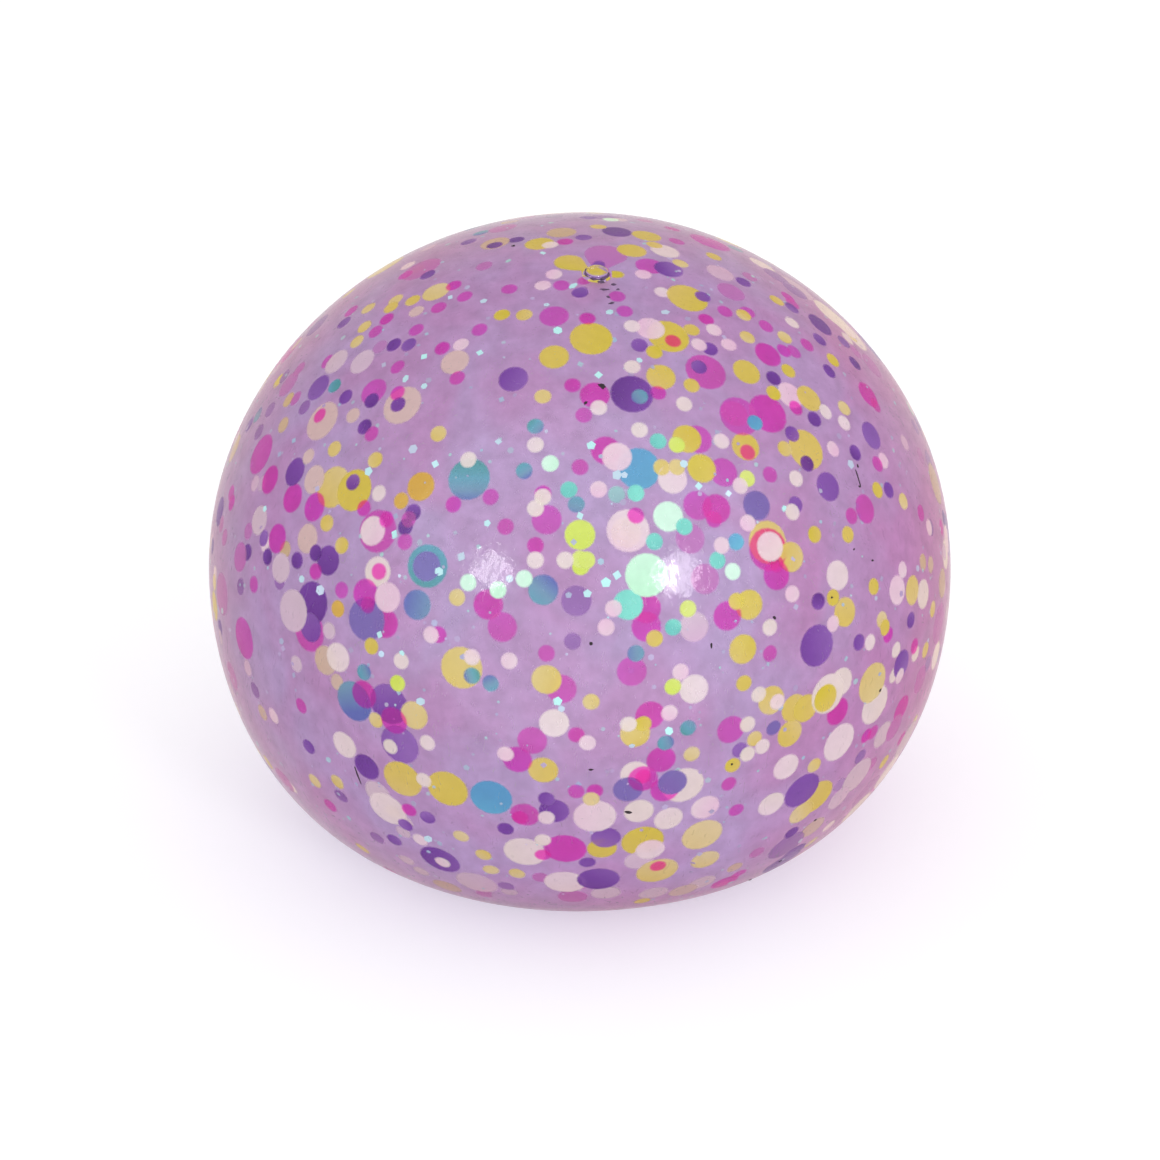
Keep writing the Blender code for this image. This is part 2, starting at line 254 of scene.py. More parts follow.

# Glitter specks that catch the light, made near-white as painted glints
GLINT_PAINTED_SPECKS = (
    -35+73j, 23+69j, 73+28j, -9+71j, -57+26j, -45+32j, -85+16j, -50+9j, -47+51j, -70-6j, -75-3j, -48-23j,
    -43-36j, -54-18j, 55+16j, -42+49j, -22+34j, -25+12j, 3+33j, 5+52j, 10+25j, 40+20j, 28+28j, 32+22j,
    -19-3j, 2-7j, -6-36j, -41-73j, -38-1j, 10-2j, 7-4j, 0+14j, -42+57j, -27+58j, -10+85j, -6+64j, -26+72j,
    8+69j, -2+76j, 16+56j, -39+28j, 24-44j, 14-48j, -5-38j, 12+25j, -32+3j,
)

# Lint on the tacky skin, and the thinner dust round the port: its place, its length and width in
# millimetres, and its turn in degrees
LINT = (
    (6+49j, 0.75, 0.45, -40), (1.5+44.5j, 0.45, 0.3, 60), (-18+87j, 0.4, 0.25, 0),
    (75+27.5j, 0.35, 0.25, 80), (75+24.5j, 1.8, 0.1, -78), (75.5+22j, 0.3, 0.2, 0), (79+2j, 0.25, 0.2, 0),
    (74+5j, 0.25, 0.15, 60), (52.5-13.5j, 0.4, 0.25, -30), (81-33j, 0.4, 0.25, 30), (3-20.5j, 0.35, 0.3, 0),
    (35.5-21j, 0.5, 0.2, 90), (13-66j, 0.7, 0.35, -15), (3-54.5j, 0.45, 0.2, 0), (63.5-68j, 0.4, 0.25, 0),
    (54-79j, 0.4, 0.25, 30), (46-84j, 0.4, 0.2, 20), (-60-56j, 1.9, 0.12, 85), (41-53j, 0.25, 0.2, 0),
    (68-8j, 0.25, 0.2, 0),
)
PORT_DUST = (
    (6.7+75.2j, 0.9, 0.3, 0), (9+76.5j, 0.5, 0.35, 0), (8.5+71.5j, 0.6, 0.25, 30), (5.7+77.2j, 0.6, 0.45, 0),
    (7.6+73.2j, 0.4, 0.25, -30), (10.2+75.2j, 0.35, 0.25, 40),
)
LINT_THICKNESS = 0.15
LINT_UNEVENNESS = 0.7
LINT_GRAIN = 0.3 * MM

# Frame flakes shown in another colour than they are named for: the pale mint one is a painted glint of the
# lamps, the darkened pearl one is painted shade, and the others shimmer in their new colour
SHIMMERING_FLAKES = {
    "flake_pearl_04": "mint", "flake_pearl_11": "beige", "flake_teal_01": "azure", "flake_teal_04": "azure",
    "flake_violet_04": "teal", "flake_violet_07": "slate", "flake_yellow_04": "amber",
}

# Share of each colour and of each size among the scattered flakes, and the colours that are only small
COLOUR_SHARES = {
    "pearl": 0.22, "yellow": 0.21, "magenta": 0.27, "violet": 0.22,
    # Mint, aqua and lime are painted glints, also scattered here and there
    "teal": 0.04, "mint": 0.02, "aqua": 0.01, "lime": 0.01,
}
SIZE_SHARES = {"small": 0.64, "medium": 0.24, "large": 0.12}
ONLY_SMALL = ("mint", "aqua", "lime")

# How squarely a flake faces the eye, from where on it is in front, and up to where flakes are scattered
FRONT_FACING = 0.2
SCATTER_FACING = 0.6

# How much the gel veils flakes: those of the frame, of the two charts, and the scattered ones, of which some
# are deep. Flakes that face the eye less than SIDE_FACING are seen through more of the gel.
FRAME_VEIL = 0.03
FRONT_VEIL = 0.02
DEEP_VEIL = 0.42
SCATTER_VEIL = 0.04
DEEP_SCATTER_VEIL = (0.3, 0.75)
DEEP_CHANCE = 0.35
SIDE_FACING = 0.45
SIDE_VEIL = 0.6

# Depths below the skin's inside of the first layer of flakes, of a usual flake, and of plain and bright
# specks, and the gaps from the last layer and from the specks to the gel
FIRST_LAYER = 0.12 * MM
USUAL_LAYER = 0.4 * MM
SPECK_LAYER = 0.15 * MM
BRIGHT_LAYER = 0.06 * MM
LAYER_GAP = 0.06 * MM
SPECK_GAP = 0.1 * MM

# How far flakes and specks lean from the skin, and the soft edge that is added to a flake
FLAKE_LEAN = 0.05
SPECK_LEAN = 0.2
SOFT_EDGE = 0.1 * MM


def length_prop(name, description, default):
    """Property for a length."""
    return FloatProperty(name=name, description=description, default=default, unit="LENGTH")


def angle_prop(name, description, default):
    """Property for an angle."""
    return FloatProperty(name=name, description=description, default=default, unit="ROTATION")


def count_prop(name, description, default, least=0):
    """Property for a whole number."""
    return IntProperty(name=name, description=description, default=default, min=least)


def colour_prop(name, description, hex_colour):
    """Property for a colour."""
    return FloatVectorProperty(
        name=name, description=description, subtype="COLOR", size=4, default=linear(hex_colour))


class BallSizes(bpy.types.PropertyGroup):
    """Sizes of the skin, the gel and the plug"""

    radius: length_prop("Equator radius", "Half the width of the sagged ball", MEASURED["radius"])
    height: length_prop("Equator height", "Height of the widest ring above the foot", MEASURED["height"])
    crown: length_prop("Crown rise", "Height of the top above the widest ring", MEASURED["crown"])
    foot: length_prop("Foot radius", "Radius of the flat that the ball rests on", MEASURED["foot"])
    wall: length_prop("Skin wall", "Thickness of the clear skin", MEASURED["wall"])
    lean: angle_prop("Port lean", "How far the fill port leans from the top", MEASURED["lean"])
    bearing: angle_prop("Port bearing", "Side that the fill port leans to", MEASURED["bearing"])
    gel_depth: length_prop("Gel depth", "Depth of the gel below the skin's outside", MEASURED["gel_depth"])
    ripple: length_prop("Ripple", "How far the soft skin swells and dips from a true round", 0.10 * MM)
    turns: count_prop("Turns", "Facets round the ball", 160, 24)
    steps: count_prop("Steps", "Facets from the top to the equator and from there to the foot", 36, 8)


class ConfettiSizes(bpy.types.PropertyGroup):
    """Sizes and numbers of the confetti flakes and glitter specks"""

    large: length_prop("Large flake", "Diameter of the large flakes", 4.0 * MM)
    medium: length_prop("Medium flake", "Diameter of the medium flakes", 2.8 * MM)
    small: length_prop("Small flake", "Diameter of the small flakes", 1.6 * MM)
    film: length_prop("Film", "Thickness of the film that flakes are punched from", 0.04 * MM)
    layer_pitch: length_prop("Layer pitch", "Depth from one layer of flakes to the next", 0.13 * MM)
    front_flakes: count_prop("Flakes in front", "Scattered flakes on the front, mostly small", 60)
    back_flakes: count_prop("Flakes behind", "Scattered flakes on the sides and back", 600)
    sides: count_prop("Sides", "Corners of a flake's outline", 18, 3)
    specks: count_prop("Glitter specks", "Fine glitter specks all round", 1100)
    speck: length_prop("Glitter speck", "Width of a glitter speck", 0.36 * MM)
    seed: count_prop("Seed", "Start of the scatter", 11)


class BallColours(bpy.types.PropertyGroup):
    """Colours of the gel, the films and the grime"""

    gel_cool: colour_prop("Cool gel", "Bluish clouds of the gel", "#B69CC9")
    gel_warm: colour_prop("Warm gel", "Pinkish clouds of the gel", "#BD88BB")
    pearl: colour_prop("Pearl film", "Pale pinkish film", "#F0CCE4")
    # Pearl film made darker and beige: painted shade on pearl flakes
    beige: colour_prop("Beige film", "Pale film that shimmers beige", "#DDC6C1")
    yellow: colour_prop("Yellow film", "Yellow film", "#D8CA3A")
    violet: colour_prop("Violet film", "Deep violet film", "#6C3490")
    magenta: colour_prop("Magenta film", "See-through magenta film", "#F878F0")
    teal: colour_prop("Teal film", "Teal film", "#58A8A6")
    slate: colour_prop("Slate film", "Violet film that shimmers bluish", "#8676BC")
    # Mint, aqua and lime are bright colours painted on film for the lamps' glint on it: painted glints
    mint: colour_prop("Mint film", "Pale film that shimmers mint", "#C6FBD8")
    aqua: colour_prop("Aqua film", "Teal film that shimmers aqua", "#86E6D6")
    lime: colour_prop("Lime film", "Yellow film that shimmers lime", "#D2E84C")
    amber: colour_prop("Amber film", "Yellow film that shimmers amber", "#D8AE40")
    azure: colour_prop("Azure film", "Teal film that shimmers blue", "#66BCD6")
    lint: colour_prop("Lint", "Dark lint on the tacky skin", "#44363F")
    grime: colour_prop("Grime", "Thin grime in the plug's groove and dust round it", "#84668E")


class SqueezeBall(bpy.types.PropertyGroup):
    """Everything that a user would change on the ball"""

    sizes: PointerProperty(type=BallSizes)
    confetti: PointerProperty(type=ConfettiSizes)
    colours: PointerProperty(type=BallColours)


def half_outline(sizes, above):
    """Inner radius, reach and rise of the oval arc above the equator, or of the one below it."""
    if above:
        return 0.0, sizes.radius, sizes.crown
    return sizes.foot, sizes.radius - sizes.foot, sizes.height


def side_point(sizes, angle, depth):
    """Radius and height at an angle from the top, a depth inside the skin's surface."""
    inner, reach, rise = half_outline(sizes, angle < QUARTER)
    across = math.sin(angle) / reach
    along = math.cos(angle) / rise
    inward = depth / math.hypot(across, along)
    radius = inner + reach * math.sin(angle) - across * inward
    return radius, sizes.height + rise * math.cos(angle) - along * inward


def outline(sizes, depth, foot_depth, first_angle=0.0):
    """Points from the crown to the foot's edge, at a depth that eases to foot_depth on the foot."""
    points = []
    for step in range(sizes.steps):
        angle = first_angle + (QUARTER - first_angle) * step / sizes.steps
        points.append(side_point(sizes, angle, depth))
    for step in range(sizes.steps + 1):
        angle = QUARTER * step / sizes.steps
        share = min(1.0, (QUARTER - angle) / FOOT_EASING)
        points.append(side_point(sizes, QUARTER + angle, foot_depth + (depth - foot_depth) * share))
    return points


def surface_radius(sizes, height):
    """Radius of the skin's outside at a height."""
    inner, reach, rise = half_outline(sizes, height >= sizes.height)
    share = min(1.0, abs(height - sizes.height) / rise)
    return inner + reach * math.sqrt(1 - share ** 2)


def surface_normal(sizes, point):
    """Outward direction of the skin at a point on it or just inside."""
    flat = Vector((point.x, point.y, 0.0))
    height = point.z - sizes.height
    inner, reach, rise = half_outline(sizes, height >= 0.0)
    sideways = max(0.0, flat.length - inner) / reach ** 2
    return (flat.normalized() * sideways + UP * (height / rise ** 2)).normalized()


def lean_port(sizes, shape):
    """Moves an upright shape so that the fill port lies off the top, as the frame's does."""
    pivot = Vector((-math.sin(sizes.bearing), math.cos(sizes.bearing), 0.0))
    stretch = Matrix.Diagonal((sizes.radius, sizes.radius, sizes.crown))
    middle = UP * sizes.height
    for vertex in shape.verts:
        unit = stretch.inverted() @ (vertex.co - middle)
        from_port = math.atan2(math.hypot(unit.x, unit.y), unit.z)
        share = min(1.0, max(0.0, (QUARTER - from_port) / (QUARTER - FIRM_ANGLE)))
        vertex.co = middle + stretch @ Matrix.Rotation(sizes.lean * share, 3, pivot) @ unit


# The eye is the photograph's: half a metre from the ball, above its front
EYE_DISTANCE = 0.51
EYE_ELEVATION = math.radians(30)
TOWARDS_EYE = Vector((0.0, -math.cos(EYE_ELEVATION), math.sin(EYE_ELEVATION)))
EYE_UP = Vector((0.0, math.sin(EYE_ELEVATION), math.cos(EYE_ELEVATION)))
EYE_RIGHT = Vector((1.0, 0.0, 0.0))
PHOTO_PIXELS = 1160
BALL_PIXELS = 370.4
BALL_ABOVE_MIDDLE_PIXELS = 11.5
REFRACTIVE_INDEX = 1.46
SIGHT_STEPS = 40


def seen_point(sizes, place, depth):
    """Point of the skin's outside above a flake, at a depth, that the eye sees at a place on the ball."""
    middle = UP * sizes.height
    eye = middle + TOWARDS_EYE * EYE_DISTANCE
    outside = eye
    inside = middle + (EYE_RIGHT * place.real + EYE_UP * place.imag) * sizes.radius / 100
    for _ in range(SIGHT_STEPS):
        point = (inside + outside) / 2
        if math.hypot(point.x, point.y) < surface_radius(sizes, point.z):
            inside = point
        else:
            outside = point
    sight = (inside - eye).normalized()
    normal = surface_normal(sizes, inside)
    bent = (sight - normal * sight.dot(normal)) / REFRACTIVE_INDEX
    flake = inside - normal * depth + bent * depth / math.sqrt(1 - bent.length_squared)
    return flake + surface_normal(sizes, flake) * depth


def scattered_point(sizes, draw):
    """Random point of the skin's outside, even over its area and clear of the plug and the foot."""
    lowest = 0.1 * sizes.height
    highest = sizes.height + 0.985 * sizes.crown
    steepest = 0.2
    most = 1.5
    while True:
        height = draw.uniform(lowest, highest)
        azimuth = draw.uniform(0, 2 * math.pi)
        radius = surface_radius(sizes, height)
        point = Vector((radius * math.cos(azimuth), radius * math.sin(azimuth), height))
        normal = surface_normal(sizes, point)
        spread = radius / sizes.radius / max(steepest, math.hypot(normal.x, normal.y))
        if draw.random() * most < spread:
            return point


def set_inputs(tree, node, inputs):
    """Sets a node's inputs to values or to other nodes' outputs. A node stands for its first output."""
    for key, value in inputs.items():
        if isinstance(value, bpy.types.Node):
            value = value.outputs[0]
        if isinstance(value, bpy.types.NodeSocket):
            tree.links.new(value, node.inputs[key])
        else:
            node.inputs[key].default_value = value


def add_node(tree, kind, inputs=None, **settings):
    """Adds a shader node of a kind with its settings and its inputs."""
    node = tree.nodes.new(f"ShaderNode{kind}")
    for key, value in settings.items():
        setattr(node, key, value)
    set_inputs(tree, node, inputs or {})
    return node


def add_ramp(tree, value, *stops):
    """Adds a colour ramp with stops of a position and a linear colour, in order."""
    ramp = add_node(tree, "ValToRGB", {"Fac": value})
    elements = ramp.color_ramp.elements
    for element, (position, colour) in zip(elements, (stops[0], stops[-1])):
        element.position = position
        element.color = colour
    for position, colour in stops[1:-1]:
        elements.new(position).color = colour
    return ramp


def add_attribute(tree, name):
    """Adds a value that the corners of a shape hold."""
    return add_node(tree, "Attribute", attribute_name=name).outputs["Fac"]


def start_material(name):
    """New node material: its tree, its Principled shader and its output."""
    material = bpy.data.materials.new(name)
    material.use_nodes = True
    nodes = material.node_tree.nodes
    return material, material.node_tree, nodes["Principled BSDF"], nodes["Material Output"]


def clear_rubber():
    """Clear thermoplastic rubber, moulded glossy and gone tacky: scuffed gloss, fine wrinkles, a dull rim."""
    material, tree, shader, output = start_material("clear_rubber")
    place = add_node(tree, "TexCoord").outputs["Object"]
    along = add_node(tree, "Mapping", {"Vector": place, "Scale": (1.0, 1.0, 0.3)})
    scuffs = add_node(tree, "TexNoise", {
        "Vector": along, "Scale": 1 / (0.6 * MM), "Detail": 4.0, "Distortion": 1.5})
    rough = add_node(tree, "MapRange", {
        "Value": scuffs, "From Min": 0.47, "From Max": 0.66, "To Min": 0.05, "To Max": 0.28})
    wrinkles = add_node(tree, "TexNoise", {
        "Vector": place, "Scale": 1 / (1.3 * MM), "Detail": 3.0, "Roughness": 0.6, "Distortion": 1.0},
        noise_type="RIDGED_MULTIFRACTAL")
    bump = add_node(tree, "Bump", {"Height": wrinkles, "Strength": 0.5, "Distance": 0.03 * MM})
    set_inputs(tree, shader, {
        "Base Color": linear("#FBF7F9"), "Roughness": rough, "Normal": bump, "IOR": REFRACTIVE_INDEX,
        "Specular IOR Level": 0.8, "Transmission Weight": 1.0, "Sheen Weight": 0.4, "Sheen Roughness": 0.35})
    slope = add_node(tree, "LayerWeight", {"Blend": 0.5}).outputs["Facing"]
    tint = add_ramp(tree, slope, (0.5, linear("#F6EEF0")), (0.9, linear("#FFE6C8")))
    dull = add_node(tree, "BsdfRefraction", {
        "Color": tint, "Roughness": 0.16, "IOR": REFRACTIVE_INDEX, "Normal": bump})
    rim = add_node(tree, "FloatCurve", {"Value": slope})
    curve = rim.mapping.curves[0]
    curve.points[0].location = (0.12, 0.0)
    curve.points[1].location = (1.0, 0.3)
    curve.points.new(0.4, 0.8)
    curve.points.new(0.75, 0.68)
    rim.mapping.update()
    mixed = add_node(tree, "MixShader", {0: rim, 1: shader, 2: dull})
    set_inputs(tree, output, {"Surface": mixed})
    return material


def wetted_rubber():
    """Inside of the skin: the gel wets it and bends light alike, so the eye passes straight through."""
    material, tree, shader, output = start_material("wetted_rubber")
    tree.nodes.remove(shader)
    set_inputs(tree, output, {"Surface": add_node(tree, "BsdfTransparent")})
    return material


def lilac_gel(colours):
    """Cloudy dyed gel: cool clouds drift into warm ones, most on one side, fine patches, and painted light
    that makes it paler towards the foot, against the shade near the floor.
    """
    material, tree, shader, _ = start_material("lilac_gel")
    place = add_node(tree, "TexCoord").outputs["Object"]
    clouds = add_node(tree, "TexNoise", {
        "Vector": place, "Scale": 1 / (9 * MM), "Detail": 2.0, "Distortion": 0.4})
    cloudy = add_node(tree, "MapRange", {"Value": clouds, "From Min": 0.36, "From Max": 0.64, "To Max": 0.6})
    where = add_node(tree, "SeparateXYZ", {"Vector": place}).outputs
    sideways = add_node(tree, "MapRange", {
        "Value": where["X"], "From Min": 14 * MM, "From Max": 34 * MM, "To Max": 0.7})
    warmth = add_node(tree, "Math", {0: cloudy, 1: sideways}, use_clamp=True)
    tint = add_node(tree, "Mix", {
        "Factor": warmth, "A": tuple(colours.gel_cool), "B": tuple(colours.gel_warm)}, data_type="RGBA")
    patches = add_node(tree, "TexNoise", {
        "Vector": place, "Scale": 1 / (1.6 * MM), "Detail": 4.0, "Roughness": 0.65})
    shade = add_node(tree, "MapRange", {
        "Value": patches, "From Min": 0.3, "From Max": 0.7, "To Min": 0.88, "To Max": 1.12})
    # Painted light: the gel is up to 14 per cent paler at the foot, fading out 24 mm up, to lift the shade
    # that falls near the floor
    foot = add_node(tree, "MapRange", {
        "Value": where["Z"], "From Max": 24 * MM, "To Min": 1.14, "To Max": 1.0})
    patches_and_painted_light = add_node(tree, "Math", {0: shade, 1: foot}, operation="MULTIPLY")
    patched = add_node(tree, "HueSaturation", {"Color": tint.outputs["Result"], "Value": patches_and_painted_light})
    set_inputs(tree, shader, {"Base Color": patched, "Roughness": 0.7, "Specular IOR Level": 0.1})
    return material


# What each punched film gives the eye: how much it covers, the light that each of its faces lets through,
# the colours that its tone wanders to from flake to flake and the colour of its shimmer
FILMS = {
    "pearl": (0.66, "#FFF0F8", ("#F0E4E6", "#ECE6D8"), "#C8FFE4"),
    # Pearl film darkened to beige: painted shade
    "beige": (0.66, "#FFF0F0", ("#DAC4BA", "#E0CCC8"), "#F0E8D8"),
    "yellow": (0.76, "#FFF0B0", ("#DECA6C", "#E4D6AC"), "#E8FFB0"),
    "amber": (0.82, "#FFE8B0", ("#DCB650", "#DABC60"), "#FFE8B0"),
    "violet": (0.66, "#BC8CE4", ("#864EAC", "#A276C0"), "#9CD0F0"),
    "magenta": (0.10, "#FFA6F0", ("#FF6CD0", "#FF5CA8"), "#FFC8F0"),
    "teal": (0.64, "#B0D8EC", ("#6CB2C2", "#80A6BE", "#6A72BE"), "#A0F0F8"),
    "azure": (0.72, "#B8E0FF", ("#5CA6CE",), "#B0F0FF"),
    "slate": (0.60, "#C4B0E0", ("#8C82C6",), "#9CD0F0"),
    # Mint, aqua and lime: painted glints, bright colours that stand for the lamps' glint on shimmering film
    "mint": (0.90, "#E0FFF0", ("#E2FFF2",), "#D8FFF0"),
    "aqua": (0.85, "#D0FFF4", ("#6CCCC4",), "#C0FFF4"),
    "lime": (0.90, "#F0FFC0", ("#E2EE90",), "#F0FFC0"),
}

# How far the tone drifts across a flake of a film that shimmers much
DRIFTS = {"teal": 0.28, "azure": 0.3, "violet": 0.15, "aqua": 0.3}

# Slots of the films that are named for their shimmer, for a painted glint or for painted shade
SLOTS = {
    "beige": "pearl_film", "mint": "pearl_film", "amber": "yellow_film", "lime": "yellow_film",
    "slate": "violet_film", "aqua": "teal_film", "azure": "teal_film",
}

# How much more the gel veils a see-through flake that lies over no other
LONE_VEIL = {"magenta": 0.12}


def punched_film(colour_name, colours):
    """Thin dyed plastic film, in a few colours painted with a glint or with shade: it filters what lies under
    it, and the cloudy gel veils it and its edge.
    """
    cover, filter_hex, wander, shimmer_hex = FILMS[colour_name]
    material, tree, shader, output = start_material(f"{colour_name}_film")
    place = add_node(tree, "TexCoord").outputs["Object"]
    stops = [(step / len(wander), linear(hex_colour)) for step, hex_colour in enumerate(wander, 1)]
    # The tone ramp holds the film's colours, among them painted glints and painted shade for some films, and
    # the tone's rise near the foot is painted light
    dye_and_painted_light = add_ramp(tree, add_attribute(tree, "tone"), (0.0, tuple(getattr(colours, colour_name))), *stops)
    grain = add_node(tree, "TexNoise", {"Vector": place, "Scale": 1 / (0.8 * MM), "Detail": 2.0})
    shade = add_node(tree, "MapRange", {"Value": grain, "To Min": 0.92, "To Max": 1.08})
    dyed = add_node(tree, "HueSaturation", {"Color": dye_and_painted_light, "Value": shade})
    set_inputs(tree, shader, {
        "Base Color": dyed, "Roughness": 0.3,
        "Specular IOR Level": 0.2, "Specular Tint": linear(shimmer_hex)})
    through = add_node(tree, "BsdfTransparent", {"Color": linear(filter_hex)})
    film = add_node(tree, "MixShader", {0: cover, 1: through, 2: shader})
    haze = add_node(tree, "BsdfDiffuse", {"Color": linear("#BA94C2")})
    cloud = add_node(tree, "MapRange", {"Value": add_attribute(tree, "veil"), "To Max": 0.92})
    veiled = add_node(tree, "MixShader", {0: cloud, 1: film, 2: haze})
    soft = add_node(tree, "MapRange", {
        "Value": add_attribute(tree, "edge"), "From Max": 0.2 * MM, "To Min": 0.95, "To Max": 0.0})
    clear = add_node(tree, "BsdfTransparent")
    softened = add_node(tree, "MixShader", {0: soft, 1: veiled, 2: clear})
    set_inputs(tree, output, {"Surface": softened})
    return material


def glitter_film(colours):
    """Shimmering pale glitter cut fine: specks flash blue, mint or lilac, the near-white ones are painted
    glints, and most are veiled by the gel.
    """
    material, tree, shader, output = start_material("glitter_film")
    flash = add_ramp(
        tree, add_attribute(tree, "tone"), (0.0, linear("#9CC8E0")), (0.4, linear("#A8E4D8")),
        (0.7, linear("#C8BCE4")), (1.0, linear("#BCFCF8")))
    set_inputs(tree, shader, {"Base Color": flash, "Metallic": 0.4, "Roughness": 0.3})
    haze = add_node(tree, "BsdfDiffuse", {"Color": tuple(colours.gel_cool)})
    veiled = add_node(tree, "MixShader", {0: add_attribute(tree, "veil"), 1: shader, 2: haze})
    set_inputs(tree, output, {"Surface": veiled})
    return material


def stuck_dust(name, colour):
    """Lint and dust that sticks to the tacky rubber: matt and uneven."""
    material, tree, shader, _ = start_material(name)
    place = add_node(tree, "TexCoord").outputs["Object"]
    grain = add_node(tree, "TexNoise", {"Vector": place, "Scale": 1 / (0.3 * MM), "Detail": 2.0})
    shade = add_node(tree, "HueSaturation", {"Color": tuple(colour), "Value": grain})
    set_inputs(tree, shader, {"Base Color": shade, "Roughness": 0.9})
    return material


def spin_round(shape, turns):
    """Turns a section once round the ball's axis into a smooth shape."""
    bmesh.ops.spin(shape, geom=shape.verts[:] + shape.edges[:], cent=FLOOR, axis=UP, angle=2 * math.pi,
                   steps=turns, use_merge=True)
    bmesh.ops.remove_doubles(shape, verts=shape.verts, dist=1e-8)
    bmesh.ops.recalc_face_normals(shape, faces=shape.faces)
    for face in shape.faces:
        face.smooth = True


def turned(section, turns, closed=False):
    """Shape made by turning radius and height points once round the ball's axis."""
    shape = bmesh.new()
    corners = [shape.verts.new((radius, 0.0, height)) for radius, height in section]
    ends = zip(corners, corners[1:] + corners[:1]) if closed else zip(corners, corners[1:])
    for start, end in ends:
        if start.co.x > 0.0 or end.co.x > 0.0:
            shape.edges.new((start, end))
    spin_round(shape, turns)
    return shape


def add_object(name, shape, *materials):
    """Puts a finished shape in the scene."""
    mesh = bpy.data.meshes.new(name)
    shape.to_mesh(mesh)
    shape.free()
    for material in materials:
        mesh.materials.append(material)
    item = bpy.data.objects.new(name, mesh)
    bpy.context.scene.collection.objects.link(item)
    return item


def add_piece(name, shape, body, slot, *materials):
    """Puts a finished shape in the scene as a piece that rides on a body."""
    piece = add_object(name, shape, *materials)
    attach(piece, body)
    return piece


def flatten_with_squeeze(piece):
    """Gives a soft piece a mesh of its own."""
    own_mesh(piece)


class SQUEEZEBALL_OT_skin(bpy.types.Operator):
    """Clear hollow skin with the fill port through its crown"""

    bl_idname = "squeeze_ball.skin"
    bl_label = "Skin"

    def execute(self, context):
        sizes = context.scene.squeeze_ball.sizes
        mouth = MEASURED["mouth"]
        bore = mouth - MOUTH_STEP
        mouth_floor = BALL_TOP - MOUTH_DEPTH
        outside = outline(sizes, 0.0, 0.0, math.asin((mouth + MOUTH_LIP) / sizes.radius))
        inside = outline(sizes, sizes.wall, sizes.wall, math.asin(bore / sizes.radius))
        inside[0] = (bore, inside[0][1])
        rim = [(mouth, mouth_floor), (mouth, outside[0][1] - MOUTH_LIP)]
        section = rim + outside + [(0.0, 0.0), (0.0, sizes.wall)] + inside[::-1] + [(bore, mouth_floor)]
        shape = turned(section, sizes.turns, closed=True)
        for face in shape.faces:
            outward = surface_normal(sizes, face.calc_center_median())
            face.material_index = int(face.normal.dot(outward) < DRY_FACING)
        for vertex in shape.verts:
            swell = noise.noise(vertex.co / RIPPLE_LENGTH) * min(1.0, vertex.co.z / RIPPLE_FROM_FOOT)
            away = min(1.0, math.hypot(vertex.co.x, vertex.co.y) / RIPPLE_FROM_PORT)
            vertex.co += surface_normal(sizes, vertex.co) * swell * sizes.ripple * away ** 2
        lean_port(sizes, shape)
        piece = add_piece("skin_shell", shape, "ball", "skin", clear_rubber(), wetted_rubber())
        # The lamps reach the gel and flakes straight, as light through a thin clear skin does
        piece.visible_shadow = False
        piece.visible_diffuse = False
        piece.visible_glossy = False
        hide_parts("skin")
        flatten_with_squeeze(piece)
        return {"FINISHED"}


class SQUEEZEBALL_OT_gel(bpy.types.Operator):
    """Cloudy lilac gel inside the flakes"""

    bl_idname = "squeeze_ball.gel"
    bl_label = "Gel"

    def execute(self, context):
        sizes = context.scene.squeeze_ball.sizes
        foot_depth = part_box("gel_fill")[0].z
        side = outline(sizes, sizes.gel_depth, foot_depth)
        side[0] = (0.0, side[0][1])
        shape = turned(side + [(0.0, foot_depth)], sizes.turns)
        piece = add_piece("gel_core", shape, "ball", "gel", lilac_gel(context.scene.squeeze_ball.colours))
        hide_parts("gel_fill")
        flatten_with_squeeze(piece)
        return {"FINISHED"}


